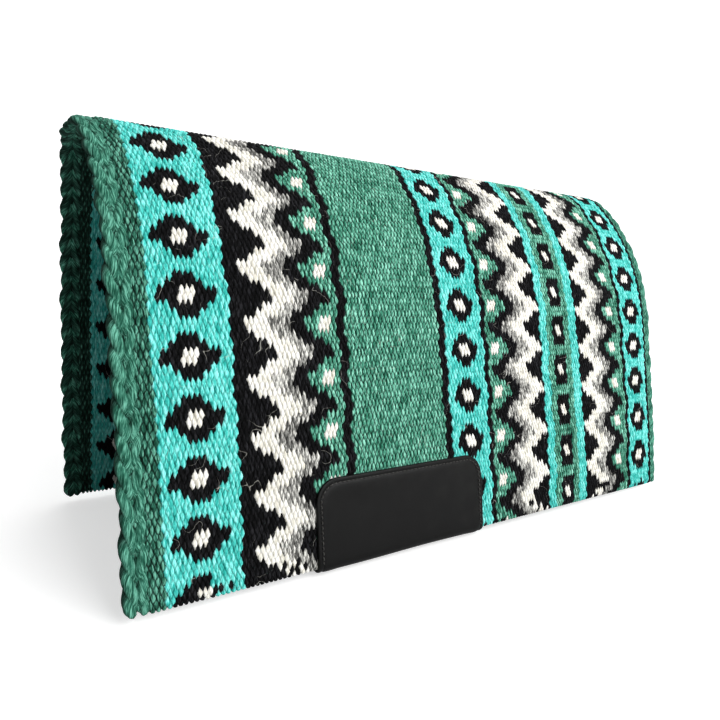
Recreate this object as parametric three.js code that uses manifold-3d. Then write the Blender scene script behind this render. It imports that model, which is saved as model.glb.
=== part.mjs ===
// Western saddle blanket: one thick layer of weft-faced wool, hung over a ridge like a tent.
// X runs along the spine (front at -X), Y across it, Z up. The origin is the middle of the
// flat under the ridge, where the blanket rests. Millimetres.
import * as THREE from 'three';
import Module from 'manifold-3d';
import { mergeVertices } from 'three/addons/utils/BufferGeometryUtils.js';

// Cloth.
const LENGTH = 762;
const HALF_DROP = 508;
const THICKNESS = 12;
const GAP = 0.3;

// The fall of the cloth on one side: [distance from the spine, slope below horizontal].
const RIDGE_FLAT = 24;
const SLOPES = [[RIDGE_FLAT, 0], [64, 44], [110, 54], [180, 66], [270, 80], [380, 80.5], [HALF_DROP, 84.5]];

// Fold lines: the hinge axis lies just above the thickest piece, where the flank starts.
const FOLD_AT = 165;
const FOLD_CLEARANCE = 0.2;
const FOLD_WEDGE_DEG = 28;
const CROWN_STEPS = 7;
const FLANK_STEPS = 5;

// Twined cords that bind the front and rear ends.
const CORD_WIDTH = 16;
const CORD_THICKNESS = 18;
const CORD_RISE = (CORD_THICKNESS - THICKNESS) / 2;
const CORD_CORNER = 5;

// Woven bands from front to rear: each one's rear edge as a share of the length.
const BANDS = [
  ['front_border', 0.043, 'green'],
  ['front_diamond_band', 0.137, 'turquoise'],
  ['front_zigzag_band', 0.296, 'black'],
  ['centre_plain_band', 0.449, 'green'],
  ['middle_diamond_band', 0.545, 'turquoise'],
  ['middle_zigzag_band', 0.671, 'black'],
  ['square_band', 0.767, 'green'],
  ['rear_zigzag_band', 0.895, 'black'],
  ['rear_diamond_band', 1 - CORD_WIDTH / LENGTH, 'turquoise'],
];

// Warp: a layer of cords side by side, inside the weft.
const WARP_PITCH = 6.76;
const WARP_THICKNESS = 4;
const WARP_WAIST = 2;
const WARP_WALL = 2;

// Wear leathers, folded round each hem.
const LEATHER_WIDTH = 218;
const LEATHER_HEIGHT = 88;
const LEATHER_X = -94;
const LEATHER_THICKNESS = 2.6;
const LEATHER_CORNER = 24;
const STITCH_INSET = 5;
const STITCH_WIDTH = 1.2;
const STITCH_THICKNESS = 0.7;

const SIDES = [['near', -1], ['off', 1]];

const wasm = await Module();
wasm.setup();

const LOOKS = {
  green: { color: 0x3f8f72, roughness: 0.95, metalness: 0 },
  turquoise: { color: 0x45dcd0, roughness: 0.95, metalness: 0 },
  black: { color: 0x17171a, roughness: 0.95, metalness: 0 },
  warp: { color: 0xb9b09a, roughness: 0.9, metalness: 0 },
  leather: { color: 0x22211f, roughness: 0.45, metalness: 0 },
  thread: { color: 0x101010, roughness: 0.7, metalness: 0 },
};

function namedMesh(name, geometry, look) {
  const mesh = new THREE.Mesh(geometry, new THREE.MeshStandardMaterial(LOOKS[look]));
  mesh.name = name;
  return mesh;
}

// Slope of the outer face at a distance from the spine, in radians.
function slopeAt(distance) {
  const last = SLOPES.length - 1;
  if (distance <= SLOPES[0][0]) return THREE.MathUtils.degToRad(SLOPES[0][1]);
  if (distance >= SLOPES[last][0]) return THREE.MathUtils.degToRad(SLOPES[last][1]);
  const i = SLOPES.findIndex(([at]) => at >= distance);
  const [from, low] = SLOPES[i - 1];
  const [to, high] = SLOPES[i];
  return THREE.MathUtils.degToRad(low + (high - low) * (distance - from) / (to - from));
}

// A point of the cross-section: distance from the spine along the outer face, then depth
// below that face. The side is -1 for near, +1 for off.
function sectionPoint(side, distance, depth) {
  const stride = 1;
  let y = 0;
  let z = THICKNESS;
  for (let at = 0; at < distance; at += stride) {
    const step = Math.min(stride, distance - at);
    const slope = slopeAt(at + step / 2);
    y += step * Math.cos(slope);
    z -= step * Math.sin(slope);
  }
  const slope = slopeAt(distance);
  return new THREE.Vector2(side * (y - depth * Math.sin(slope)), z - depth * Math.cos(slope));
}

// Distances at which the cloth's outline has a corner, from one distance to another.
function stations(from, to, steps) {
  return Array.from({ length: steps + 1 }, (_, i) => from + (to - from) * i / steps);
}

const crownHalf = stations(RIDGE_FLAT, FOLD_AT, CROWN_STEPS);
const LEATHER_TOP = HALF_DROP - LEATHER_HEIGHT;
const PLATE_TOP = LEATHER_TOP - 8;

// Where the flank's first face meets a depth below the outer face: it leans away from the
// crown's last face so that the flank can swing in.
function flankStart(depth) {
  const fromAxis = depth + CORD_RISE + FOLD_CLEARANCE;
  return FOLD_AT + GAP + fromAxis * Math.tan(THREE.MathUtils.degToRad(FOLD_WEDGE_DEG));
}

function flankStations(depth) {
  const start = flankStart(depth);
  return [...stations(start, PLATE_TOP, FLANK_STEPS), HALF_DROP];
}

// Outlines between two depths, as closed rings of points in the YZ plane.
function crownOutline(outer, inner, inset = 0) {
  const half = [...crownHalf.slice(0, -1), FOLD_AT - inset];
  const across = (depth) => [
    ...[...half].reverse().map((at) => sectionPoint(-1, at, depth)),
    ...half.map((at) => sectionPoint(1, at, depth)),
  ];
  return [...across(outer), ...across(inner).reverse()];
}

function flankOutline(side, outer, inner, inset = 0) {
  const fall = (depth) => {
    const along = flankStations(depth);
    along[0] += inset;
    along[along.length - 1] -= inset;
    return along.map((at) => sectionPoint(side, at, depth));
  };
  return [...fall(outer), ...fall(inner).reverse()];
}

// The YZ plane becomes the shape's plane and X the direction of extrusion.
const ALONG_SPINE = new THREE.Matrix4().makeBasis(
  new THREE.Vector3(0, 1, 0), new THREE.Vector3(0, 0, 1), new THREE.Vector3(1, 0, 0));

function counterClockwise(points) {
  return THREE.ShapeUtils.isClockWise(points) ? points.reverse() : points;
}

function alongSpine(name, look, outline, from, to, hollow = null) {
  const shape = new THREE.Shape(counterClockwise(outline));
  if (hollow) shape.holes.push(new THREE.Path(hollow));
  const geometry = new THREE.ExtrudeGeometry(shape, { depth: to - from, bevelEnabled: false });
  geometry.applyMatrix4(ALONG_SPINE);
  const mesh = namedMesh(name, geometry, look);
  mesh.position.x = from;
  return mesh;
}

// The three stretches of cloth that a fold line separates.
const STRETCHES = [
  ['crown', (outer, inner, inset) => crownOutline(outer, inner, inset)],
  ['near_flank', (outer, inner, inset) => flankOutline(-1, outer, inner, inset)],
  ['off_flank', (outer, inner, inset) => flankOutline(1, outer, inner, inset)],
];

// Each band is a sleeve of weft with a slot for the warp.
function wovenBands() {
  const slotOuter = (THICKNESS - WARP_THICKNESS) / 2 - GAP;
  const slotInner = THICKNESS - slotOuter;
  const meshes = [];
  let front = -LENGTH / 2 + CORD_WIDTH;
  for (const [name, share, look] of BANDS) {
    const rear = -LENGTH / 2 + share * LENGTH;
    for (const [stretch, outline] of STRETCHES) {
      meshes.push(alongSpine(`${name}_${stretch}`, look, outline(0, THICKNESS), front + GAP / 2,
        rear - GAP / 2, outline(slotOuter, slotInner, WARP_WALL)));
    }
    front = rear;
  }
  return meshes;
}

// A point on the straight stretch between two corners of the outline.
function chordPoint(side, at, depth, corners) {
  const i = Math.max(1, corners.findIndex((corner) => corner >= at));
  const before = sectionPoint(side, corners[i - 1], depth);
  const after = sectionPoint(side, corners[i], depth);
  return before.lerp(after, (at - corners[i - 1]) / (corners[i] - corners[i - 1]));
}

// The warp cords touch side by side, so they make one ribbed layer on each stretch.
function ribbed(distances, side, flip, cornersAt) {
  return distances.map((at, i) => {
    const half = (i % 2 ? WARP_THICKNESS : WARP_WAIST) / 2;
    const depth = THICKNESS / 2 + flip * half;
    return chordPoint(side, at, depth, cornersAt(depth));
  });
}

function warpLayers() {
  const inset = WARP_WALL + 2 * GAP;
  const crownEnd = FOLD_AT - inset;
  const crownRibs = 2 * Math.floor(crownEnd / WARP_PITCH);
  const half = stations(crownEnd, crownEnd - crownRibs * WARP_PITCH / 2, crownRibs);
  const crownCorners = () => [0, ...crownHalf];
  const crossing = (flip) => [
    ...ribbed(half, -1, flip, crownCorners),
    ...ribbed(half, 1, flip, crownCorners).reverse(),
  ];
  const crown = [...crossing(-1), ...crossing(1).reverse()];
  const flankFrom = flankStart(THICKNESS) + inset;
  const flankTo = HALF_DROP - inset;
  const ribs = 2 * Math.floor((flankTo - flankFrom) / WARP_PITCH);
  const fall = stations(flankFrom, flankTo, ribs);
  const layers = [['warp_crown', crown]];
  for (const [sideName, side] of SIDES) {
    const face = (flip) => ribbed(fall, side, flip, flankStations);
    const outline = [...face(-1), ...face(1).reverse()];
    layers.push([`warp_${sideName}_flank`, outline]);
  }
  const end = LENGTH / 2 - CORD_WIDTH - GAP;
  return layers.map(([name, outline]) => alongSpine(name, 'warp', outline, -end, end));
}

// An end cord is thicker than the cloth, with its outside corners rounded off.
function endCords() {
  const bevel = { bevelEnabled: true, bevelThickness: CORD_CORNER, bevelSize: CORD_CORNER,
    bevelOffset: -CORD_CORNER, bevelSegments: 2 };
  const meshes = [];
  for (const [endName, from] of [['front', -LENGTH / 2], ['rear', LENGTH / 2 - CORD_WIDTH]]) {
    for (const [stretch, outline] of STRETCHES) {
      const shape = new THREE.Shape(outline(-CORD_RISE, THICKNESS + CORD_RISE, 0));
      const depth = CORD_WIDTH - GAP / 2 - 2 * CORD_CORNER;
      const geometry = new THREE.ExtrudeGeometry(shape, { depth, ...bevel });
      geometry.applyMatrix4(ALONG_SPINE);
      const mesh = namedMesh(`${endName}_edge_cord_${stretch}`, geometry, 'green');
      mesh.position.x = from + CORD_CORNER + (endName === 'rear' ? GAP / 2 : 0);
      meshes.push(mesh);
    }
  }
  return meshes;
}

function toManifold(geometry) {
  const bare = geometry.clone();
  bare.deleteAttribute('normal');
  bare.deleteAttribute('uv');
  const merged = mergeVertices(bare);
  return new wasm.Manifold(new wasm.Mesh({
    numProp: 3, vertProperties: merged.attributes.position.array, triVerts: merged.index.array }));
}

function fromManifold(solid) {
  const { vertProperties, triVerts } = solid.getMesh();
  const geometry = new THREE.BufferGeometry();
  geometry.setAttribute('position', new THREE.BufferAttribute(vertProperties, 3));
  geometry.setIndex(new THREE.BufferAttribute(triVerts, 1));
  return geometry.toNonIndexed();
}

// The frame of a hem's outer face: x along the hem, y up the cloth, z outward.
function hemFrame(side) {
  const low = sectionPoint(side, HALF_DROP, 0);
  const up = sectionPoint(side, PLATE_TOP, 0).sub(low).normalize();
  const xAxis = new THREE.Vector3(-side, 0, 0);
  const yAxis = new THREE.Vector3(0, up.x, up.y);
  const zAxis = new THREE.Vector3().crossVectors(xAxis, yAxis);
  return new THREE.Matrix4().makeBasis(xAxis, yAxis, zAxis).setPosition(LEATHER_X, low.x, low.y);
}

// A tab outline: square at the foot, with two rounded corners at the top.
function tabOutline(PathType, halfWidth, foot, top, radius) {
  const path = new PathType();
  path.moveTo(-halfWidth, foot);
  path.lineTo(halfWidth, foot);
  path.lineTo(halfWidth, top - radius);
  path.absarc(halfWidth - radius, top - radius, radius, 0, Math.PI / 2);
  path.lineTo(-halfWidth + radius, top);
  path.absarc(-halfWidth + radius, top - radius, radius, Math.PI / 2, Math.PI);
  path.closePath();
  return path;
}

// A wear leather: a strip folded up both faces of the hem, its top corners rounded.
function wearLeather(sideName, side) {
  const face = GAP;
  const skin = GAP + LEATHER_THICKNESS;
  const at = (distance, depth) => sectionPoint(side, distance, depth);
  const top = PLATE_TOP;
  const outer = [at(top, -skin), at(HALF_DROP, -skin), at(HALF_DROP + skin * 0.7, -skin * 0.7)];
  const under = [at(HALF_DROP + skin, 0), at(HALF_DROP + skin, THICKNESS),
    at(HALF_DROP + skin * 0.7, THICKNESS + skin * 0.7)];
  const inner = [at(HALF_DROP, THICKNESS + skin), at(top, THICKNESS + skin),
    at(top, THICKNESS + face)];
  const inside = [at(HALF_DROP + face, THICKNESS + face), at(HALF_DROP + face, -face), at(top, -face)];
  const shape = new THREE.Shape([...outer, ...under, ...inner, ...inside]);
  const fold = new THREE.ExtrudeGeometry(shape, { depth: LEATHER_WIDTH + 20, bevelEnabled: false });
  fold.applyMatrix4(ALONG_SPINE);
  fold.translate(LEATHER_X - LEATHER_WIDTH / 2 - 10, 0, 0);

  const reach = THICKNESS + 4 * LEATHER_THICKNESS;
  const tab = tabOutline(THREE.Shape, LEATHER_WIDTH / 2, -reach, LEATHER_HEIGHT, LEATHER_CORNER);
  const punch = new THREE.ExtrudeGeometry(tab, { depth: 2 * reach, bevelEnabled: false,
    curveSegments: 6 });
  punch.translate(0, 0, -reach - THICKNESS / 2);
  punch.applyMatrix4(hemFrame(side));

  const leather = toManifold(fold).intersect(toManifold(punch));
  return namedMesh(`${sideName}_wear_leather`, fromManifold(leather), 'leather');
}

// The stitch line runs up one side of the leather, over the top and down the other.
function stitching(sideName, side) {
  const half = LEATHER_WIDTH / 2 - STITCH_INSET;
  const top = LEATHER_HEIGHT - STITCH_INSET;
  const radius = LEATHER_CORNER - STITCH_INSET;
  const w = STITCH_WIDTH;
  const band = new THREE.Shape();
  band.moveTo(half - w, 0);
  band.lineTo(half, 0);
  band.lineTo(half, top - radius);
  band.absarc(half - radius, top - radius, radius, 0, Math.PI / 2);
  band.lineTo(-half + radius, top);
  band.absarc(-half + radius, top - radius, radius, Math.PI / 2, Math.PI);
  band.lineTo(-half, 0);
  band.lineTo(-half + w, 0);
  band.lineTo(-half + w, top - radius);
  band.absarc(-half + radius, top - radius, radius - w, Math.PI, Math.PI / 2, true);
  band.lineTo(half - radius, top - w);
  band.absarc(half - radius, top - radius, radius - w, Math.PI / 2, 0, true);
  const geometry = new THREE.ExtrudeGeometry(band, { depth: STITCH_THICKNESS, bevelEnabled: false,
    curveSegments: 4 });
  const mesh = namedMesh(`${sideName}_leather_stitching`, geometry, 'thread');
  mesh.position.z = 2 * GAP + LEATHER_THICKNESS;
  const frame = new THREE.Group();
  hemFrame(side).decompose(frame.position, frame.quaternion, frame.scale);
  frame.add(mesh);
  return frame;
}

const saddleBlanket = new THREE.Group();
saddleBlanket.add(...wovenBands(), ...warpLayers(), ...endCords());
for (const [sideName, side] of SIDES) {
  saddleBlanket.add(wearLeather(sideName, side), stitching(sideName, side));
}

export default saddleBlanket;
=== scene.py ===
"""Woven wool saddle blanket: every weft float of the cloth, the twined edge cords, the
folded wear leathers and their stitching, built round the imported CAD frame.

Frame: X along the spine with the front end at -X, the near flank at -Y, Z up.
Cloth coordinates are in millimetres: t is the distance from the front end along the spine,
s the distance from the ridge over the outer face, positive down the near flank and negative
down the off flank, and a height is measured from the middle of the cloth's thickness.
"""
import math

import bpy
import numpy as np
from mathutils import Matrix, Vector


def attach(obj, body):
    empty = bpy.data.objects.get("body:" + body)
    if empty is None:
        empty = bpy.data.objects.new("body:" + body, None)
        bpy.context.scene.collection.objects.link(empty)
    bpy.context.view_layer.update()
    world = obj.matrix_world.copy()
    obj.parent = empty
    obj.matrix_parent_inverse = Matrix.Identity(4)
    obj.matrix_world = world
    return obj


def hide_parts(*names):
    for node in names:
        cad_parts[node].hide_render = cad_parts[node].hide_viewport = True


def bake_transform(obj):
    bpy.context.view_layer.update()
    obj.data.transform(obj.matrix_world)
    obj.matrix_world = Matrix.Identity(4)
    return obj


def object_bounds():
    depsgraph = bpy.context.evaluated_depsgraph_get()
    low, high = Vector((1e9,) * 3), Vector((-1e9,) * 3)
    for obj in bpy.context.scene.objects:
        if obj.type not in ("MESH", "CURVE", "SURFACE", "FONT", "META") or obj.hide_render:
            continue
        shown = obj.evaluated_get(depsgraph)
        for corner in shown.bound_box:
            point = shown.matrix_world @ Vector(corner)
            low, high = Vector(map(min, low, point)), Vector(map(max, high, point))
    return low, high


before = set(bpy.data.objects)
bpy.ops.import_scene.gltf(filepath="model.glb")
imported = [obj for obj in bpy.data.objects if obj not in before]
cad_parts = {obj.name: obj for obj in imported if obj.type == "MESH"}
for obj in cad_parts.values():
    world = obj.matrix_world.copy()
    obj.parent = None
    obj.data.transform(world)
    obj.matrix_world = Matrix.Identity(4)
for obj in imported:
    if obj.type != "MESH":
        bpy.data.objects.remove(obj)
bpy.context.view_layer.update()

MM = 0.001
LENGTH = 762.0
HALF_DROP = 508.0
THICKNESS = 12.0
HALF_THICKNESS = THICKNESS / 2

# Slope of the outer face in degrees at each distance from the ridge.
SLOPES = [(0, 0), (24, 0), (64, 44), (110, 54), (180, 66), (270, 80), (380, 80.5), (508, 84.5)]

# The hem rolls round the last warp, from here to almost a quarter turn further on.
ROLL_FROM = HALF_DROP - HALF_THICKNESS
ROLL_TURN = math.radians(84)

# Weave: picks of weft lie along the drop, side by side along the spine. Their number is an
# estimate from the spacing of the columns that show in the photo, not a count.
PICKS = 332
PICK = LENGTH / PICKS
WARP = 6.545
WARP_SHIFT = 0.34
LAST_WARP = 77
WARP_RADIUS, WARP_SIDES = 1.5, 6
REPEAT = 8
FLOAT_REACH = 5.71
LEAN = -0.15
CREST = 1.55
CREST_FOOT = -0.8
TIP_LEVEL = -0.35
# Spacing in mm down the drop of the rows whose pits and grooves get extra painted shade.
ROW_SHADE_PERIOD = 29.0
FLOAT_JITTER = 0.6
TIP_JITTER = 2.0
KEYS_PER_MM = 200
# The inner face is darkened by this much crest, as painted shade, to match the photo. It is not a
# real dye.
INSIDE_PAINTED_SHADE = 0.5

# How the cloth settled: picks crowd towards the rear, rows draw together on the flank's
# middle at the rear and spread there at the front, the rear hem corner tucks in, the rear
# border swells above it, the front end of the ridge reaches forward, and the off flank stands
# out near the ridge and in below.
CROWDING = 9.1
SPREAD = 5.1
REAR_TUCK = 12.0
RIDGE_REACH, RIDGE_BACK, RIDGE_DOWN = 9.0, 150, 90
REAR_SWELL, SWELL_DOWN, SWELL_WIDTH = 9.0, 190, 120
OFF_HANG = [(0, 0), (30, 3), (60, 6), (120, 6), (200, 3), (330, -4), (420, -10), (508, -16)]

LEATHER_WIDTH = 218.0
LEATHER_HEIGHT = 88.0
LEATHER_X = -94.0
LEATHER_THICKNESS = 2.6
LEATHER_CORNER = 24.0
LEATHER_LIFT = 0.3
STITCH_INSET = 5.0
STITCH_LENGTH = 5.0
THREAD_RADIUS, THREAD_SIDES = 0.65, 8

# Places in WOOLS, the list of materials of each woven band. BORDER takes the darker copy of the
# green wool, which is painted shade.
GREEN, TURQUOISE, BLACK, CREAM, HEATHER, BORDER = range(6)


# ---------------------------------------------------------------- cloth surface

def fall_table():
    """Distance, outward place, height and slope of the outer face, one row a millimetre."""
    at = np.arange(0.0, HALF_DROP + 21.0)
    slope_at = [d for d, _ in SLOPES]
    slope = [math.radians(a) for _, a in SLOPES]
    middle = np.interp(at[:-1] + 0.5, slope_at, slope)
    out = np.concatenate([[0.0], np.cumsum(np.cos(middle))])
    up = THICKNESS - np.concatenate([[0.0], np.cumsum(np.sin(middle))])
    return at, out, up, np.interp(at, slope_at, slope)


FALL = fall_table()


def on_cloth(t, s, height, face=1.0, roll_from=ROLL_FROM, roll=HALF_THICKNESS, most=ROLL_TURN):
    """Points in metres. face is 1 on the outer face and -1 on the inner one, and height
    is measured from the middle of the thickness towards that face."""
    t, s, height, face = np.broadcast_arrays(np.asarray(t, float), s, height, face)
    at, out, up, slope = FALL
    down = np.abs(s)
    flat = np.minimum(down, roll_from)
    turn = np.clip((down - roll_from) / roll, 0.0, most)
    angle = np.interp(flat, at, slope)
    normal_y, normal_z = np.sin(angle), np.cos(angle)
    middle_y = np.interp(flat, at, out) - HALF_THICKNESS * normal_y
    middle_z = np.interp(flat, at, up) - HALF_THICKNESS * normal_z
    along = height * np.sin(turn)
    across = height * np.cos(turn) * face
    y = middle_y + across * normal_y + along * normal_z
    z = middle_z + across * normal_z - along * normal_y
    side = np.where(s >= 0, -1.0, 1.0)
    x = t - LENGTH / 2 - REAR_TUCK * np.clip(t / LENGTH, 0, 1) ** 4 * (flat / HALF_DROP) ** 2
    x = x - RIDGE_REACH * np.exp(-(t / RIDGE_BACK) ** 2 - (s / RIDGE_DOWN) ** 2)
    swollen = np.exp(-((down - SWELL_DOWN) / SWELL_WIDTH) ** 2)
    x = x + REAR_SWELL * np.clip(t / LENGTH, 0, 1) ** 24 * swollen
    hang_at = [place for place, _ in OFF_HANG]
    y = y + np.where(s < 0, np.interp(flat, hang_at, [reach for _, reach in OFF_HANG]), 0.0)
    return np.stack([x, side * y, z], axis=-1) * MM


def hashed(a, b, salt):
    """A repeatable number from 0 to 1 for each pair of whole numbers."""
    mixed = (a.astype(np.int64) * 73856093) ^ (b.astype(np.int64) * 19349663) ^ (salt * 83492791)
    mixed = ((mixed ^ (mixed >> 13)) * 1274126177) & 0x7FFFFFFFFFFF
    mixed = mixed ^ (mixed >> 16)
    return (mixed & 0xFFFFFF).astype(float) / 0xFFFFFF


# Where the beaten-up bands bulge: the pick, and the reach in mm at the diamond rows.
BULGES = [(44, 1.2), (95, 2.2), (149, -1.2), (178, 2.0), (226, 2.0), (252, 1.0), (301, -2.4)]
BULGE_WIDTH = 23.0
ROW_DRIFT = 0.025
FIRST_ROW = 29.7


def bulge(t, s):
    """How far the picks wander along the spine, in step with the rows of the pattern."""
    phase = np.cos(2 * math.pi * (s - FIRST_ROW - ROW_DRIFT * t) / (REPEAT * WARP))
    wander = np.zeros_like(t)
    for at, reach in BULGES:
        wander += reach * np.exp(-((t - at * PICK) / BULGE_WIDTH) ** 2) * phase
    slow = 0.7 * np.sin(s / 61.0 + t / 47.0) + 0.5 * np.sin(s / 23.0 - t / 31.0)
    return wander + slow


def settled(t, s):
    """Where an evenly woven place lies once the cloth has settled."""
    share = np.clip(t / LENGTH, 0, 1)
    crowded = t + CROWDING * np.sin(math.pi * share ** 1.2)
    return crowded, s + SPREAD * (2 * share - 1) * np.sin(2 * math.pi * s / HALF_DROP)


# ---------------------------------------------------------------- colour chart

def rows_from(k, tip):
    """Warps from k to the middle of the nearest pattern row, halfway between warp tip and
    the next one: 0.5, 1.5, 2.5 or 3.5."""
    return np.abs(np.mod(k - tip - 0.5 + REPEAT / 2, REPEAT) - REPEAT / 2)


def diamonds(i, k, centre, tip, widths):
    """Black stepped diamonds with a cream heart, on turquoise."""
    away = np.abs(i - centre)
    row = rows_from(k, tip)
    colour = np.full(i.shape, TURQUOISE)
    half = np.select([row < 1, row < 2, row < 3], widths, 0)
    colour[away < half] = BLACK
    colour[(away < 3) & (row < 1)] = CREAM
    return colour


def zigzag(u, k, tip, field, spot):
    """Black field, cream, heather and black zigzags, then green with cream spots.
    u counts picks from the edge that the cream tips point to."""
    row = rows_from(k, tip)
    step = 4 * (row - 0.5)
    late = 4 * np.maximum(0, row - 1)
    colour = np.full(u.shape, GREEN)
    colour[u < field + 26 + step] = BLACK
    colour[u < field + 19 + late] = HEATHER
    colour[u < field + 10 + step] = CREAM
    colour[u < field + step] = BLACK
    colour[(np.abs(u - spot) < 3) & (row < 1)] = CREAM
    return colour


def squares(i, k, centre, tip):
    """Black squares with a cream heart, on green."""
    away = np.abs(i - centre)
    row = rows_from(k, tip)
    colour = np.full(i.shape, GREEN)
    colour[(away < 5) & (row < 3)] = BLACK
    colour[(away < 2) & (row < 1)] = CREAM
    return colour


HEM_ROWS = 3
TURNED_ABOVE = 0.62
DIAMOND_BANDS = [(14, 44), (152, 177), (301, 323)]


def chart(i, k):
    """Colour of the float of pick i over warp k. Near the hem, where the weft turns back,
    some floats show the ground colour of their band."""
    colour = np.full(i.shape, BORDER)

    def fill(first, last, part):
        inside = (i >= first) & (i < last)
        colour[inside] = part(i[inside], k[inside]) if callable(part) else part

    fill(14, 44, lambda a, b: diamonds(a, b, 27.5, 4, [11, 7.5, 4]))
    fill(44, 92, lambda a, b: zigzag(a - 44, b, 8, 6, 41.5))
    fill(92, 96, BLACK)
    fill(96, 148, GREEN)
    fill(148, 152, BLACK)
    fill(152, 177, lambda a, b: diamonds(a, b, 163.5, 5, [8.5, 6, 3.5]))
    fill(177, 180, BLACK)
    fill(180, 222, lambda a, b: zigzag(221 - a, b, 5, 1, 36.5))
    fill(222, 228, TURQUOISE)
    fill(228, 248, lambda a, b: squares(a, b, 237.5, 10))
    fill(248, 255, TURQUOISE)
    fill(255, 298, lambda a, b: zigzag(a - 255, b, 6, 1, 33.5))
    fill(298, 301, BLACK)
    fill(301, 323, lambda a, b: diamonds(a, b, 311.5, 6, [8, 6, 4]))
    fill(323, 327, BLACK)
    turned = (np.abs(k) > LAST_WARP - HEM_ROWS) & (hashed(i // 2, k, 6) > TURNED_ABOVE)
    for first, last in DIAMOND_BANDS:
        colour[turned & (colour == BLACK) & (i >= first) & (i < last)] = TURQUOISE
    colour[turned & (colour == CREAM)] = BLACK
    return colour


# ---------------------------------------------------------------- mesh helpers

def new_piece(name, points, triangles, materials, looks=None, **fields):
    """A smooth mesh object from arrays. fields are float attributes: on the points if there
    are as many values, else on the faces. thread is a vector on each point."""
    mesh = bpy.data.meshes.new(name)
    mesh.vertices.add(len(points))
    mesh.vertices.foreach_set("co", np.asarray(points, np.float32).ravel())
    mesh.loops.add(triangles.size)
    mesh.loops.foreach_set("vertex_index", triangles.astype(np.int32).ravel())
    mesh.polygons.add(len(triangles))
    mesh.polygons.foreach_set("loop_start", np.arange(0, triangles.size, 3, dtype=np.int32))
    mesh.polygons.foreach_set("use_smooth", np.ones(len(triangles), bool))
    for material in materials:
        mesh.materials.append(material)
    if looks is not None:
        mesh.polygons.foreach_set("material_index", looks.astype(np.int32))
    mesh.update(calc_edges=True)
    for field, values in fields.items():
        values = np.asarray(values, np.float32)
        if values.ndim == 2:
            made = mesh.attributes.new(field, "FLOAT_VECTOR", "POINT")
            made.data.foreach_set("vector", values.ravel())
        else:
            domain = "POINT" if len(values) == len(points) else "FACE"
            made = mesh.attributes.new(field, "FLOAT", domain)
            made.data.foreach_set("value", values)
    piece = bpy.data.objects.new(name, mesh)
    bpy.context.scene.collection.objects.link(piece)
    return piece


def crease(piece, level):
    """The edges that lie in the grooves between floats are sharp."""
    edges = np.empty(len(piece.data.edges) * 2, np.int32)
    piece.data.edges.foreach_get("vertices", edges)
    low = (level[edges.reshape(-1, 2)] <= 0).all(axis=1)
    sharp = piece.data.attributes.new("sharp_edge", "BOOLEAN", "EDGE")
    sharp.data.foreach_set("value", low)


def hang(piece):
    """The piece's placement is baked into its points."""
    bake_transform(piece)


# ---------------------------------------------------------------- woven cloth

ARCH = [0.22, 0.7, 0.97, 0.97, 0.7, 0.22]


def float_cell(across, heights):
    """One float's cell: its points as offsets from the crossing, the share of the crest at
    each, and triangles. Six-sided cells of this outline fill the cloth without gaps."""
    shoulder = WARP - FLOAT_REACH
    top, bottom = (-LEAN, -FLOAT_REACH), (LEAN, FLOAT_REACH)
    right_top, right_foot = (PICK + LEAN, -shoulder), (PICK - LEAN, shoulder)
    left_top, left_foot = (LEAN - PICK, -shoulder), (-LEAN - PICK, shoulder)

    def between(a, b, share):
        return tuple(p + (q - p) * share for p, q in zip(a, b))

    def flank(upper, lower):
        return [between(top, upper, 1 / 3), between(top, upper, 2 / 3), upper, lower,
                between(lower, bottom, 1 / 3), between(lower, bottom, 2 / 3)]

    points, level = [top], [TIP_LEVEL]
    for row, (a, b) in enumerate(zip(flank(left_top, left_foot), flank(right_top, right_foot))):
        points += [between(a, b, share) for share in across]
        level += [high * ARCH[row] for high in heights]
        if row in (2, 3):
            level[-1] = level[-len(heights)] = TIP_LEVEL
    points.append(bottom)
    level.append(TIP_LEVEL)
    n, last = len(across), len(points) - 1
    triangles = []
    for c in range(n - 1):
        triangles.append((0, 1 + c, 2 + c))
        for r in range(len(ARCH) - 1):
            a = 1 + r * n + c
            triangles += [(a, a + n, a + n + 1), (a, a + n + 1, a + 1)]
        triangles.append((last - n + c, last, last - n + c + 1))
    return np.array(points), np.array(level), np.array(triangles)


def face_layer(i, k, across, heights, crest):
    """One face of the cloth: keys, t, s, level and height of its points, and triangles."""
    offsets, share, cell = float_cell(across, heights)
    t = (i[:, None] + 0.5) * PICK + offsets[None, :, 0]
    s = (k[:, None] + WARP_SHIFT) * WARP + offsets[None, :, 1]
    level = share[None, :] * (0.8 + 0.2 * hashed(i, k, 5))[:, None]
    key_t = np.rint(t * KEYS_PER_MM).astype(np.int64).ravel()
    key_s = np.rint(s * KEYS_PER_MM).astype(np.int64).ravel()
    keys, first, back = np.unique(key_t * 1000003 + key_s, return_index=True, return_inverse=True)
    corners = np.arange(len(i))[:, None, None] * len(share) + cell[None]
    triangles = back.reshape(-1)[corners.reshape(-1)].reshape(-1, 3)
    key_t, key_s = key_t[first], key_s[first]
    t, s, level = t.ravel()[first], s.ravel()[first], level.ravel()[first]
    loose = np.clip(1.0 - level, 0, 1)
    t = t + FLOAT_JITTER * (hashed(key_t, key_s, 1) - 0.5)
    s = s + TIP_JITTER * (hashed(key_t, key_s, 2) - 0.5) * loose
    t, s = settled(t + bulge(t, s), s)
    pit = hashed(key_t, key_s, 3)
    level = np.where(level < 0, TIP_LEVEL * pit ** 0.7 * 1.4, level)
    # Painted shade: in rows down the drop the low points get a lower level, which only the shader
    # reads, so the pits and grooves there look darker; the shape stays as it is.
    row_shade = (0.5 + 0.5 * np.sin(2 * math.pi * s / ROW_SHADE_PERIOD + np.sin(t / 40))) ** 2
    rise = crest * level - 0.3 * pit * (level <= 0)
    level = level - 0.32 * row_shade * (level <= 0)
    return keys, t, s, level, rise, triangles


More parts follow.
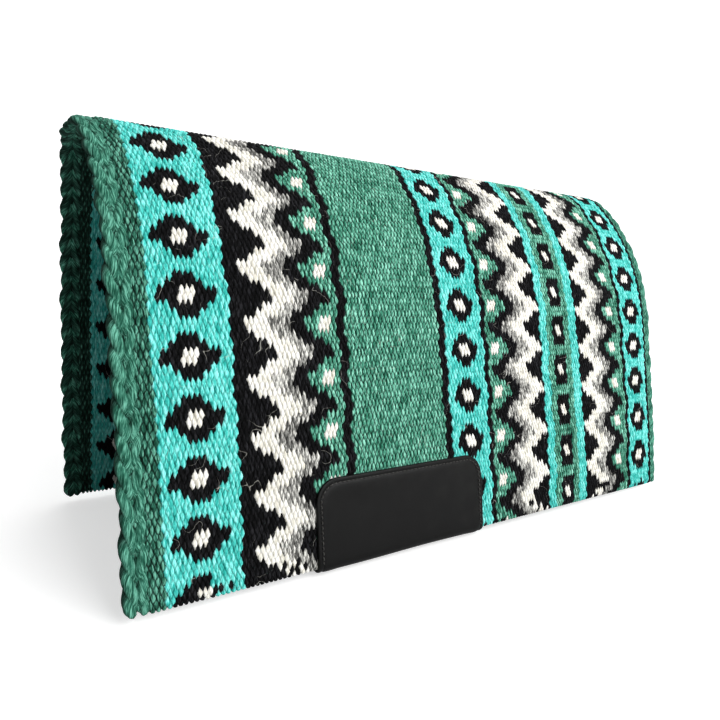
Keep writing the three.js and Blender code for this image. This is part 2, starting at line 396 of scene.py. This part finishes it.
def outline(triangles):
    """Directed edges that only one triangle uses."""
    edges = np.concatenate([triangles[:, [0, 1]], triangles[:, [1, 2]], triangles[:, [2, 0]]])
    size = int(triangles.max()) + 1
    forward = edges[:, 0] * size + edges[:, 1]
    backward = edges[:, 1] * size + edges[:, 0]
    return edges[~np.isin(forward, backward)]


def under_leather(t, s):
    """1 where the wear leather presses the floats flat, fading to 0 round it."""
    beside = LEATHER_WIDTH / 2 + 2 - np.abs(t - LENGTH / 2 - LEATHER_X)
    below = np.abs(s) - (HALF_DROP - LEATHER_HEIGHT) + 2
    return np.clip(beside / 3, 0, 1) * np.clip(below / 3, 0, 1)


# The cords along the two ends cover the cloth this far in, and it sinks below them.
FRONT_COVER = 20.5
REAR_COVER = 15.5
SINK = 3.4


def under_cords(t):
    """1 where the end cords lie over the cloth, fading to 0 beside them."""
    return np.clip(np.maximum(FRONT_COVER - t, t - LENGTH + REAR_COVER) / 2.5, 0, 1)


OUTER_FLOAT = ([0, 0.24, 0.5, 0.76, 1], [0, 0.74, 1, 0.74, 0], CREST)
INNER_FLOAT = ([0, 0.5, 1], [0, 1, 0], 0.5 * CREST)


def woven(name, first, last, side, materials):
    """The closed body of half of one woven band: outer floats, inner floats and the rim."""
    warps = np.arange(0, LAST_WARP + 1) if side == "near" else np.arange(-LAST_WARP, 0)
    i, k = (a.ravel() for a in np.meshgrid(np.arange(first, last), warps, indexing="ij"))
    kept = (i + k) % 2 == 0
    i, k = i[kept], k[kept]
    colour, tone = chart(i, k), hashed(i, k, 9)
    outer, inner = face_layer(i, k, *OUTER_FLOAT), face_layer(i, k, *INNER_FLOAT)
    points, thread, crest = [], [], []
    for face, (_, t, s, level, rise, _) in ((1.0, outer), (-1.0, inner)):
        pressed = under_leather(t, s)
        height = HALF_THICKNESS + (CREST_FOOT + rise) * (1 - pressed) - 0.8 * pressed
        height -= SINK * under_cords(t)
        points.append(on_cloth(t, s, height, face))
        thread.append(np.stack([t, s, np.full_like(t, 40.0 * face)], axis=-1))
        # Painted shade: the inner face's crest is lowered so that the wool shader draws it darker.
        crest.append(level if face > 0 else level - INSIDE_PAINTED_SHADE)
    start = len(outer[0])
    rim = outline(outer[5])
    below = np.searchsorted(inner[0], outer[0][rim]) + start
    wall = np.concatenate([
        np.stack([rim[:, 1], rim[:, 0], below[:, 0]], axis=-1),
        np.stack([rim[:, 1], below[:, 0], below[:, 1]], axis=-1)])
    triangles = np.concatenate([outer[5], inner[5][:, ::-1] + start, wall])
    per_outer, per_inner = len(outer[5]) // len(i), len(inner[5]) // len(i)
    edge_look = np.full(len(wall), np.bincount(colour).argmax())
    looks = np.concatenate([np.repeat(colour, per_outer), np.repeat(colour, per_inner), edge_look])
    tones = np.concatenate([np.repeat(tone, per_outer), np.repeat(tone, per_inner),
                            np.full(len(wall), 0.4)])
    crest = np.concatenate(crest)
    piece = new_piece(name, np.concatenate(points), triangles, materials, looks,
                      thread=np.concatenate(thread), crest=crest, tone=tones)
    crease(piece, crest)
    hang(piece)
    return piece


# ---------------------------------------------------------------- cords

def tube(path, radius, sides, shape=None):
    """Points and triangles of a closed tube along path, which is an array of points.
    shape gives each ring's radius share from the ring's number and the angle round it."""
    rings = len(path)
    tangent = np.gradient(path, axis=0)
    tangent /= np.linalg.norm(tangent, axis=1, keepdims=True)
    across = np.array([1.0, 0.0, 0.0]) - tangent[:, :1] * tangent
    across /= np.linalg.norm(across, axis=1, keepdims=True)
    other = np.cross(tangent, across)
    angle = np.arange(sides) * 2 * math.pi / sides
    ring = np.arange(rings)[:, None]
    share = np.ones((rings, sides)) if shape is None else shape(ring, angle[None, :])
    size = (np.broadcast_to(radius, (rings,))[:, None] * share)[..., None]
    round_it = (np.cos(angle)[None, :, None] * across[:, None]
                + np.sin(angle)[None, :, None] * other[:, None])
    points = (path[:, None] + size * round_it).reshape(-1, 3)
    a = (np.arange(rings - 1)[:, None] * sides + np.arange(sides)[None]).ravel()
    b = (np.arange(rings - 1)[:, None] * sides + (np.arange(sides)[None] + 1) % sides).ravel()
    walls = np.concatenate([np.stack([a, b, b + sides], -1),
                            np.stack([a, b + sides, a + sides], -1)])
    first, last = len(points), len(points) + 1
    points = np.concatenate([points, path[:1], path[-1:]])
    c, d = np.arange(sides), (np.arange(sides) + 1) % sides
    tail = (rings - 1) * sides
    caps = np.concatenate([
        np.stack([d, c, np.full(sides, first)], -1),
        np.stack([c + tail, d + tail, np.full(sides, last)], -1)])
    return points, np.concatenate([walls, caps])


def joined(parts):
    """Several (points, triangles) as one."""
    points, triangles, start = [], [], 0
    for some, faces in parts:
        points.append(some)
        triangles.append(faces + start)
        start += len(some)
    return np.concatenate(points), np.concatenate(triangles)


PLY_STEP = 1.5
PLIES = 5
STRAND_SIDES = 30


def twined(name, side, centre, reach, strand, lay, turn, materials):
    """Two soft strands of wool twisted round each other along one end of the cloth.
    reach and strand are the twist's radius and a strand's, along the spine and across the
    thickness. turn is 1 or -1, the way they twist, and lay the drop in which they turn once."""
    end = ROLL_FROM + 5.0
    sign = 1.0 if side == "near" else -1.0
    s = np.arange(0.0, end + PLY_STEP / 2, PLY_STEP) * sign
    taper = 0.4 + 0.6 * np.clip((end - np.abs(s)) / 7.0, 0.0, 1.0) ** 0.5
    parts, thread, crest = [], [], []
    for phase in (0.0, math.pi):
        angle = turn * 2 * math.pi * np.abs(s) / lay + phase
        sway = 0.8 * np.sin(s / 31.0 + phase) + 0.5 * np.sin(s / 13.0 + 2 * phase)
        t = centre + sway + reach[0] * np.cos(angle) * taper
        calm = 1 - 0.75 * np.exp(-(s / 60) ** 2)
        path = on_cloth(t, s, reach[1] * np.sin(angle) * taper * calm, 1.0, HALF_DROP + 10.0)
        radius = strand[0] * taper * (1 + 0.06 * np.sin(s / 9.0 + 3 * phase)) * MM
        flat = strand[1] / strand[0]

        def ply(ring, around, angle=angle):
            """The radius round a strand: an ellipse with a shallow groove beside each ply."""
            swirl = around * PLIES + 1.9 * angle[ring] * PLIES / 2
            ellipse = 1 / np.hypot(np.cos(around), np.sin(around) / flat)
            return ellipse * (0.93 + 0.10 * np.abs(np.cos(swirl / 2)) ** 0.7)

        points, triangles = tube(path, radius, STRAND_SIDES, ply)
        ring = np.repeat(np.arange(len(s)), STRAND_SIDES)
        around = np.tile(np.arange(STRAND_SIDES), len(s)) * 2 * math.pi / STRAND_SIDES
        swirl = around + 1.9 * angle[ring] / 2
        lines = np.stack([swirl * strand[0] + 50 * phase, np.abs(s[ring]), centre + 0 * swirl], -1)
        thread.append(np.concatenate([lines, lines[:1], lines[-1:]]))
        # Painted shade: the crest is low near the middle of the twist, where the strands meet, so
        # the wool shader darkens the cord there.
        outside = np.sin(around) * strand[1] + reach[1] * np.sin(angle[ring])
        level = np.clip(np.abs(outside) / (strand[1] + reach[1]) * 1.3 - 0.35, -0.3, 1.0)
        crest.append(np.concatenate([level, [0.5, 0.5]]))
        parts.append((points, triangles))
    points, triangles = joined(parts)
    tone = np.full(len(triangles), 0.5)
    piece = new_piece(name, points, triangles, materials,
                      thread=np.concatenate(thread), crest=np.concatenate(crest), tone=tone)
    hang(piece)
    return piece


def warp_cords(name, side, materials):
    """The cords along the spine that the weft goes round, hidden inside it. None shows in
    the photo: their number follows from the rows of the weave."""
    sign = 1.0 if side == "near" else -1.0
    ks = np.arange(1, LAST_WARP)
    t = np.arange(10.0, LENGTH - 9.0, 12.0)
    parts = []
    for k in ks:
        s = np.full(len(t), sign * (k + (WARP_SHIFT if side == "near" else -WARP_SHIFT)) * WARP)
        path = on_cloth(t, s, 0.4 * np.sin(t / 5.0 + k * math.pi))
        parts.append(sweep_along_spine(path, WARP_RADIUS * MM, WARP_SIDES))
    points, triangles = joined(parts)
    piece = new_piece(name, points, triangles, materials,
                      thread=points / MM, crest=np.full(len(points), 0.7),
                      tone=np.full(len(triangles), 0.5))
    hang(piece)
    return piece


def sweep_along_spine(path, radius, sides):
    """A closed tube along a path that runs along X."""
    turned = path[:, [2, 0, 1]]
    points, triangles = tube(turned, radius, sides)
    return points[:, [1, 2, 0]], triangles


# ---------------------------------------------------------------- wear leathers

LEATHER_MIDDLE = LENGTH / 2 + LEATHER_X
LEATHER_TOP = HALF_DROP - LEATHER_HEIGHT
LEATHER_INSIDE = HALF_THICKNESS + LEATHER_LIFT
LEATHER_ROLL = LEATHER_INSIDE + LEATHER_THICKNESS / 2
LEATHER_FALL = ROLL_FROM - LEATHER_TOP + LEATHER_ROLL * math.pi / 2
EDGE_STEPS = [0, 0.25, 0.7, 1.3, 2.2, 3.2, 4.0, 4.5, 5.0, 5.5, 6.0, 7.0, 9.0, 12.0, 17.0, 24.0]


def edge_distance(across, down):
    """Distance in from the leather's cut edge, whose top corners are rounded."""
    centre = LEATHER_WIDTH / 2 - LEATHER_CORNER
    beyond = np.abs(across) - centre
    above = LEATHER_CORNER - down
    rounded = LEATHER_CORNER - np.hypot(beyond, above)
    straight = np.minimum(LEATHER_WIDTH / 2 - np.abs(across), down)
    return np.maximum(np.where((beyond > 0) & (above > 0), rounded, straight), 0.0)


def leather_height(across, down, inside):
    """Height of the leather's outer surface: rounded edge, stitched groove, soft swell."""
    rim = np.sqrt(1 - (1 - np.clip(inside / 1.3, 0, 1)) ** 2)
    groove = 0.55 * np.exp(-((inside - STITCH_INSET) / 1.0) ** 2)
    swell = 0.55 * np.exp(-((inside - 12) / 7.0) ** 2)
    wave = 0.35 * np.sin(across / 27.0 + 0.6) * np.sin(down / 19.0) * np.clip(inside / 20, 0, 1)
    return LEATHER_INSIDE + LEATHER_THICKNESS * (0.4 + 0.6 * rim) - groove + swell + wave


def on_leather(side, across, down, height, face):
    """Points of the leather on one flank, down its outer or inner flap from the top edge."""
    sign = 1.0 if side == "near" else -1.0
    return on_cloth(LEATHER_MIDDLE + across, sign * (LEATHER_TOP + down), height, face,
                    ROLL_FROM, LEATHER_ROLL, math.pi / 2)


def wear_leather(name, side, material):
    """One piece of leather folded round the hem, with a flap of the same height inside."""
    middle = np.linspace(EDGE_STEPS[-1], LEATHER_FALL, 24)[1:]
    down = np.concatenate([EDGE_STEPS, middle])
    down = np.concatenate([down, down[-2::-1]])
    face = np.ones(len(down))
    face[len(down) // 2 + 1:] = -1.0
    inset = LEATHER_CORNER - np.sqrt(
        LEATHER_CORNER ** 2 - np.clip(LEATHER_CORNER - down, 0, None) ** 2)
    half = LEATHER_WIDTH / 2 - inset
    steps = np.array(EDGE_STEPS)
    inner = np.linspace(-1, 1, 40)[1:-1]
    across = np.concatenate([
        -half[:, None] + steps[None], inner[None] * (half[:, None] - steps[-1]),
        half[:, None] - steps[None, ::-1]], axis=1)
    rows, columns = across.shape
    down, face = np.broadcast_arrays(down[:, None], face[:, None] + 0 * across)[:2]
    down = down + 0 * across
    inside = edge_distance(across, down)
    outer = on_leather(side, across, down, leather_height(across, down, inside), face)
    inner = on_leather(side, across, down, np.full_like(across, LEATHER_INSIDE), face)
    r, c = (x.ravel() for x in np.meshgrid(np.arange(rows - 1), np.arange(columns - 1),
                                           indexing="ij"))
    a = r * columns + c
    quads = np.stack([a, a + columns, a + columns + 1, a + 1], -1)
    front = np.concatenate([quads[:, [0, 1, 2]], quads[:, [0, 2, 3]]])
    if side == "off":
        front = front[:, ::-1]
    count = rows * columns
    rim = outline(front)
    wall = np.concatenate([np.stack([rim[:, 1], rim[:, 0], rim[:, 0] + count], -1),
                           np.stack([rim[:, 1], rim[:, 0] + count, rim[:, 1] + count], -1)])
    triangles = np.concatenate([front, front[:, ::-1] + count, wall])
    points = np.concatenate([outer.reshape(-1, 3), inner.reshape(-1, 3)])
    flat = np.stack([across, down * face, np.zeros_like(down)], -1).reshape(-1, 3)
    worn = np.exp(-inside / 0.8).ravel()
    piece = new_piece(name, points, triangles, [material],
                      thread=np.concatenate([flat, flat]), crest=np.concatenate([worn, worn]))
    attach(piece, side + "_flank")
    return piece


def stitching(name, side, material):
    """Waxed thread up one side, over the top and down the other, on both flaps."""
    half = LEATHER_WIDTH / 2 - STITCH_INSET
    corner = LEATHER_CORNER - STITCH_INSET
    foot = LEATHER_FALL - LEATHER_ROLL * math.pi / 2 - 1.0
    rise, span = foot - LEATHER_CORNER, 2 * (half - corner)
    arc = corner * math.pi / 2
    whole = 2 * rise + 2 * arc + span
    stitches = round(whole / STITCH_LENGTH)
    run = np.arange(0.0, whole, 0.4)
    across, down = np.empty_like(run), np.empty_like(run)
    for n, at in enumerate(run):
        mirrored = at > whole / 2
        d = whole - at if mirrored else at
        if d < rise:
            x, y = -half, foot - d
        elif d < rise + arc:
            turn = (d - rise) / corner
            x = -half + corner * (1 - math.cos(turn))
            y = LEATHER_CORNER - corner * math.sin(turn)
        else:
            x, y = -half + corner + (d - rise - arc), STITCH_INSET
        across[n], down[n] = (-x if mirrored else x), y
    inside = edge_distance(across, down)
    wave = np.cos(2 * math.pi * run * stitches / whole)
    height = leather_height(across, down, inside) + 0.1 + 1.0 * wave
    parts = []
    for face in (1.0, -1.0):
        path = on_leather(side, across, down, height, face)
        path = path + 1e-7 * np.arange(len(path))[:, None]
        points, triangles = tube(path, THREAD_RADIUS * MM, THREAD_SIDES)
        parts.append((points, triangles))
    points, triangles = joined(parts)
    piece = new_piece(name, points, triangles, [material], thread=points / MM)
    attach(piece, side + "_flank")
    return piece


# ---------------------------------------------------------------- materials

def shader(name):
    """A new material, its nodes, a function that adds a node, and its Principled shader."""
    material = bpy.data.materials.new(name)
    material.use_nodes = True
    tree = material.node_tree
    principled = tree.nodes["Principled BSDF"]

    def add(kind, inputs=None, **settings):
        node = tree.nodes.new(kind)
        for key, value in settings.items():
            setattr(node, key, value)
        for key, value in (inputs or {}).items():
            if isinstance(value, bpy.types.NodeSocket):
                tree.links.new(value, node.inputs[key])
            else:
                node.inputs[key].default_value = value
        return node

    return material, tree, add, principled


def linear(code):
    """A colour written as a web code, in the linear values that the shader takes."""
    parts = [int(code[n:n + 2], 16) / 255 for n in (1, 3, 5)]
    return tuple(c / 12.92 if c <= 0.04045 else ((c + 0.055) / 1.055) ** 2.4 for c in parts) + (1,)


def ramp(add, value, stops):
    """A colour ramp from (place, colour) stops."""
    node = add("ShaderNodeValToRGB", {"Fac": value})
    bands = node.color_ramp.elements
    for n, (place, colour) in enumerate(stops):
        stop = bands[n] if n < 2 else bands.new(place)
        stop.position, stop.color = place, colour
    return node.outputs["Color"]


def maths(add, operation, a, b=0.0, clamp=False):
    return add("ShaderNodeMath", {0: a, 1: b}, operation=operation, use_clamp=clamp).outputs[0]


def mixed(add, share, a, b, blend_type="MIX"):
    node = add("ShaderNodeMix", {0: share, 6: a, 7: b}, data_type="RGBA", blend_type=blend_type)
    return node.outputs[2]


def wool(name, deep, base, bright, groove=0.55, pit=0.2, sheen=0.12, hair=0.0):
    """Spun wool: streaks of fibre along each float, a tone to each float, painted shade in the
    grooves and pits between floats.
    """
    material, tree, add, principled = shader(name)
    thread = add("ShaderNodeAttribute", attribute_name="thread").outputs["Vector"]
    tone = add("ShaderNodeAttribute", attribute_name="tone").outputs["Fac"]
    crest = add("ShaderNodeAttribute", attribute_name="crest").outputs["Fac"]

    def streaks(across, along, detail, twist):
        scaled = add("ShaderNodeVectorMath", {0: thread, 1: (across, along, 0.31)},
                     operation="MULTIPLY").outputs["Vector"]
        return add("ShaderNodeTexNoise", {"Vector": scaled, "Scale": 1.0, "Detail": detail,
                                          "Roughness": 0.6, "Distortion": twist}).outputs["Fac"]

    def share(value, weight):
        return maths(add, "MULTIPLY", maths(add, "SUBTRACT", value, 0.5), weight)

    yarn, fibre = streaks(0.50, 0.085, 2.0, 0.5), streaks(1.25, 0.17, 3.0, 0.4)
    patch = streaks(0.021, 0.012, 2.0, 0.0)
    value = maths(add, "ADD", share(yarn, 0.75), share(fibre, 0.75))
    value = maths(add, "ADD", value, share(tone, 0.07))
    value = maths(add, "ADD", value, maths(add, "ADD", share(patch, 0.12), 0.5))
    colour = ramp(add, value, [(0.36, linear(deep)), (0.64, linear(bright)), (0.5, linear(base))])
    # Painted shade: shade and deeper darken the colour where the crest is low, in the grooves and
    # pits between floats.
    shade = add("ShaderNodeMapRange", {"Value": crest, "From Min": 0.0, "From Max": 0.5,
                                       "To Min": groove, "To Max": 1.0},
                interpolation_type="SMOOTHSTEP").outputs["Result"]
    deeper = add("ShaderNodeMapRange", {"Value": crest, "From Min": TIP_LEVEL, "From Max": 0.5,
                                        "To Min": pit, "To Max": 1.0}).outputs["Result"]
    dimmed = mixed(add, 1.0, colour, maths(add, "MULTIPLY", shade, deeper), "MULTIPLY")
    if hair:
        line = add("ShaderNodeTexNoise", {"Vector": thread, "Scale": 0.05, "Detail": 0.0,
                                          "Distortion": 0.5}).outputs["Fac"]
        near_line = maths(add, "ABSOLUTE", maths(add, "SUBTRACT", line, 0.5))
        thin = add("ShaderNodeMapRange", {"Value": near_line, "From Min": 0.0, "From Max": 0.006,
                                          "To Min": hair, "To Max": 0.0}).outputs["Result"]
        few = add("ShaderNodeTexNoise", {"Vector": thread, "Scale": 0.033}).outputs["Fac"]
        kept = add("ShaderNodeMapRange", {"Value": few, "From Min": 0.53, "From Max": 0.57})
        stray = maths(add, "MULTIPLY", thin, kept.outputs["Result"])
        dimmed = mixed(add, stray, dimmed, linear("#d8d6cc"))
    tree.links.new(dimmed, principled.inputs["Base Color"])
    rough = add("ShaderNodeMapRange", {"Value": fibre, "From Min": 0.3, "From Max": 0.7,
                                       "To Min": 0.98, "To Max": 0.8}).outputs["Result"]
    tree.links.new(rough, principled.inputs["Roughness"])
    raised = add("ShaderNodeBump", {"Height": fibre, "Strength": 0.5, "Distance": 0.0008})
    strands = add("ShaderNodeBump", {"Height": yarn, "Strength": 0.5, "Distance": 0.0014,
                                     "Normal": raised.outputs["Normal"]})
    tree.links.new(strands.outputs["Normal"], principled.inputs["Normal"])
    principled.inputs["Specular IOR Level"].default_value = 0.12
    principled.inputs["Sheen Weight"].default_value = sheen
    principled.inputs["Sheen Roughness"].default_value = 0.5
    principled.inputs["Sheen Tint"].default_value = linear(bright)
    return material


def leather(name):
    """Black harness leather: fine smooth grain, satin, with a black burnished edge and a painted
    reflection across it.
    """
    material, tree, add, principled = shader(name)
    flat = add("ShaderNodeAttribute", attribute_name="thread").outputs["Vector"]
    worn = add("ShaderNodeAttribute", attribute_name="crest").outputs["Fac"]
    cloud = add("ShaderNodeTexNoise",
                {"Vector": flat, "Scale": 0.045, "Detail": 4.0}).outputs["Fac"]
    pores = add("ShaderNodeTexVoronoi", {"Vector": flat, "Scale": 1.25},
                feature="DISTANCE_TO_EDGE").outputs["Distance"]
    grain = add("ShaderNodeTexNoise", {"Vector": flat, "Scale": 1.6, "Detail": 5.0}).outputs["Fac"]
    # A painted reflection: a slight lighter gradient across the leather's own plane, for the sheen
    # it has in the photo.
    place = add("ShaderNodeSeparateXYZ", {"Vector": flat})
    painted_sheen = maths(add, "MULTIPLY", maths(add, "SUBTRACT", place.outputs["X"], place.outputs["Y"]),
                   0.0022)
    colour = ramp(add, maths(add, "ADD", cloud, painted_sheen), [
        (0.2, linear("#050505")), (0.85, linear("#121211")), (0.5, linear("#080808"))])
    burnished = mixed(add, maths(add, "MULTIPLY", worn, 0.9), colour, linear("#020202"))
    tree.links.new(burnished, principled.inputs["Base Color"])
    rough = add("ShaderNodeMapRange", {"Value": grain, "From Min": 0.3, "From Max": 0.7,
                                       "To Min": 0.44, "To Max": 0.54}).outputs["Result"]
    tree.links.new(rough, principled.inputs["Roughness"])
    pebble = add("ShaderNodeMapRange", {"Value": pores, "From Min": 0.0, "From Max": 0.22})
    fine = add("ShaderNodeBump", {"Height": pebble.outputs["Result"], "Strength": 0.1,
                                  "Distance": 0.00015})
    soft = add("ShaderNodeBump", {"Height": grain, "Strength": 0.12, "Distance": 0.0003,
                                  "Normal": fine.outputs["Normal"]})
    tree.links.new(soft.outputs["Normal"], principled.inputs["Normal"])
    principled.inputs["Specular IOR Level"].default_value = 0.17
    return material


def waxed_thread(name):
    """Waxed black thread with a tight twist."""
    material, tree, add, principled = shader(name)
    place = add("ShaderNodeAttribute", attribute_name="thread").outputs["Vector"]
    twist = add("ShaderNodeTexWave", {"Vector": place, "Scale": 1.1, "Distortion": 2.0},
                bands_direction="DIAGONAL").outputs["Fac"]
    colour = ramp(add, twist, [(0.1, linear("#161615")), (0.9, linear("#403e3b"))])
    tree.links.new(colour, principled.inputs["Base Color"])
    tree.links.new(maths(add, "MULTIPLY_ADD", twist, 0.2), principled.inputs["Roughness"])
    bump = add("ShaderNodeBump", {"Height": twist, "Strength": 0.4, "Distance": 0.0002})
    tree.links.new(bump.outputs["Normal"], principled.inputs["Normal"])
    return material


def pale_floor(name):
    """A pale studio sweep that the camera sees brighter the further it is from the object."""
    material, tree, add, principled = shader(name)
    place = add("ShaderNodeTexCoord").outputs["Object"]
    cloud = add("ShaderNodeTexNoise", {"Vector": place, "Scale": 3.0, "Detail": 2.0})
    colour = ramp(add, cloud.outputs["Fac"], [(0.3, linear("#d8d8d8")), (0.7, linear("#dcdcdc"))])
    tree.links.new(colour, principled.inputs["Base Color"])
    principled.inputs["Roughness"].default_value = 0.95
    principled.inputs["Specular IOR Level"].default_value = 0.0
    away = add("ShaderNodeVectorMath", {0: place}, operation="LENGTH").outputs["Value"]
    glow = add("ShaderNodeMapRange", {"Value": away, "From Min": 0.3, "From Max": 2.2,
                                      "To Min": 0.5, "To Max": 1.0}).outputs["Result"]
    seen = add("ShaderNodeLightPath").outputs["Is Camera Ray"]
    principled.inputs["Emission Color"].default_value = (1, 1, 1, 1)
    tree.links.new(maths(add, "MULTIPLY", glow, seen), principled.inputs["Emission Strength"])
    return material


# ---------------------------------------------------------------- assembly

WOOL_GREEN = wool("wool_green", "#1e5e49", "#4f9980", "#94dbc3", groove=0.6, pit=0.02, hair=0.25)
# A darker copy of the green wool that stands for shade: painted shade on the end cords and the
# border picks.
WOOL_GREEN_SHADED = wool("wool_green_shaded", "#0f3c2e", "#316c59", "#6cb09a", groove=0.45)
WOOL_TURQUOISE = wool("wool_turquoise", "#229e94", "#52d0c6", "#97f5ee", groove=0.85, pit=0.6,
                      hair=0.3)
WOOL_BLACK = wool("wool_black", "#030304", "#08080a", "#242427", groove=0.6, sheen=0.02,
                  hair=0.45)
WOOL_CREAM = wool("wool_cream", "#d0ccbe", "#f1eee5", "#fcfbf7", groove=0.88, pit=0.65)
WOOL_HEATHER = wool("wool_heather", "#41413f", "#92918d", "#efeee7", groove=0.75, pit=0.5)
WOOLS = [WOOL_GREEN, WOOL_TURQUOISE, WOOL_BLACK, WOOL_CREAM, WOOL_HEATHER, WOOL_GREEN_SHADED]
LEATHER = leather("wear_leather")
THREAD = waxed_thread("stitch_thread")

# Each woven band: its picks, its slot in the record, and the CAD node it stands for.
BANDS = [
    ("front_border", 3, 14, "wool_green"),
    ("front_diamond_band", 14, 44, "wool_turquoise"),
    ("front_zigzag_band", 44, 97, "wool_black"),
    ("centre_plain_band", 97, 148, "wool_green"),
    ("middle_diamond_band", 148, 180, "wool_turquoise"),
    ("middle_zigzag_band", 180, 222, "wool_black"),
    ("square_band", 222, 255, "wool_green"),
    ("rear_zigzag_band", 255, 298, "wool_black"),
    ("rear_diamond_band", 298, 329, "wool_turquoise"),
]

# Each twined cord: where it lies, its twist's reach and strand radii, its lay and its turn.
CORDS = [
    ("front_edge_cord", 6.6, (2.6, 2.4), (4.7, 4.3), 45.0, -1),
    ("front_twining", 16.2, (2.4, 2.0), (4.4, 4.2), 45.0, 1),
    ("rear_edge_cord", LENGTH - 6.0, (1.4, 1.6), (5.0, 4.6), 45.0, -1),
    ("rear_twining", LENGTH - 13.4, (1.2, 1.3), (3.8, 4.4), 45.0, 1),
]

for side in ("near", "off"):
    for name, first, last, slot in BANDS:
        band = woven(f"{name}_{side}", first, last, side, WOOLS)
        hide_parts(name + "_crown", f"{name}_{side}_flank")

    front_cord, inner_cord, rear_cord, rear_inner_cord = cords = [
        twined(f"{name}_{side}", side, centre, reach, strand, lay, turn, [WOOL_GREEN_SHADED])
        for name, centre, reach, strand, lay, turn in CORDS]
    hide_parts("front_edge_cord_crown", f"front_edge_cord_{side}_flank")
    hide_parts("rear_edge_cord_crown", f"rear_edge_cord_{side}_flank")

    warp = warp_cords("warp_" + side, side, [WOOL_BLACK])
    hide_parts("warp_crown", f"warp_{side}_flank")

    patch = wear_leather(f"{side}_wear_leather_folded", side, LEATHER)
    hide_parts(f"{side}_wear_leather")
    seam = stitching(f"{side}_stitches", side, THREAD)
    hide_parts(f"{side}_leather_stitching")


# ---------------------------------------------------------------- camera, light and floor

CAMERA_AT = (-0.4769, -0.6709, -0.1531)
YAW, PITCH, ROLL = math.radians(33.21), math.radians(-6.12), math.radians(1.19)
LENS = 30.07
FLOOR_GAP = 0.004
FLOOR_REACH, FLOOR_CURVE, WALL_HEIGHT, FLOOR_SIDES = 4.0, 2.0, 6.0, 64
WORLD_STRENGTH = 0.12


def make_camera():
    camera = bpy.data.objects.new("camera", bpy.data.cameras.new("camera"))
    bpy.context.scene.collection.objects.link(camera)
    ahead = Vector((math.sin(YAW) * math.cos(PITCH), math.cos(YAW) * math.cos(PITCH),
                    math.sin(PITCH)))
    right = Vector((math.cos(YAW), -math.sin(YAW), 0.0))
    up = right.cross(ahead)
    tipped_right = right * math.cos(ROLL) + up * math.sin(ROLL)
    tipped_up = up * math.cos(ROLL) - right * math.sin(ROLL)
    turn = Matrix((tipped_right, tipped_up, -ahead)).transposed()
    camera.matrix_world = Matrix.Translation(CAMERA_AT) @ turn.to_4x4()
    camera.data.lens = LENS
    camera.data.sensor_width = 36.0
    camera.data.clip_start, camera.data.clip_end = 0.05, 40.0
    bpy.context.scene.camera = camera


def area_light(name, place, aim, size, watts, tint=(1, 1, 1)):
    light = bpy.data.objects.new(name, bpy.data.lights.new(name, "AREA"))
    bpy.context.scene.collection.objects.link(light)
    light.data.shape = "SQUARE"
    light.data.size, light.data.energy, light.data.color = size, watts, tint
    light.location = place
    light.rotation_euler = (Vector(aim) - Vector(place)).to_track_quat("-Z", "Y").to_euler()


def floor_and_wall():
    """A floor that curves up into a wall on every side, so that no edge of it shows."""
    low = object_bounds()[0].z - FLOOR_GAP
    profile = [(0.01, 0.0), (2.0, 0.0), (FLOOR_REACH, 0.0)]
    profile += [(FLOOR_REACH + FLOOR_CURVE * math.sin(a), FLOOR_CURVE - FLOOR_CURVE * math.cos(a))
                for a in np.linspace(0, math.pi / 2, 16)[1:]]
    profile.append((FLOOR_REACH + FLOOR_CURVE, WALL_HEIGHT))
    around = FLOOR_SIDES
    points, faces = [], []
    for reach, rise in profile:
        for n in range(around):
            angle = 2 * math.pi * n / around
            points.append((reach * math.cos(angle), reach * math.sin(angle), low + rise))
    for r in range(len(profile) - 1):
        for n in range(around):
            a, b = r * around + n, r * around + (n + 1) % around
            faces.append((a, b, b + around, a + around))
    faces.append(tuple(range(around))[::-1])
    mesh = bpy.data.meshes.new("floor")
    mesh.from_pydata(points, [], faces)
    mesh.materials.append(pale_floor("floor"))
    mesh.polygons.foreach_set("use_smooth", np.ones(len(mesh.polygons), bool))
    ground = bpy.data.objects.new("floor", mesh)
    bpy.context.scene.collection.objects.link(ground)


make_camera()
floor_and_wall()
area_light("key", (0.7, -2.7, 1.3), (0, -0.1, -0.2), 2.2, 131.0)
area_light("fill", (-1.9, -2.0, 0.6), (0, 0, -0.2), 2.2, 2.5)
area_light("top", (0.3, 0.6, 2.6), (0, 0, 0), 2.6, 34.0)
area_light("back", (0.8, 2.8, 1.0), (0, 0, -0.2), 2.4, 26.0)
world = bpy.data.worlds.new("studio")
world.use_nodes = True
background = world.node_tree.nodes["Background"].inputs
background["Color"].default_value = (1, 1, 1, 1)
background["Strength"].default_value = WORLD_STRENGTH
bpy.context.scene.world = world
bpy.context.scene.view_settings.view_transform = "Standard"
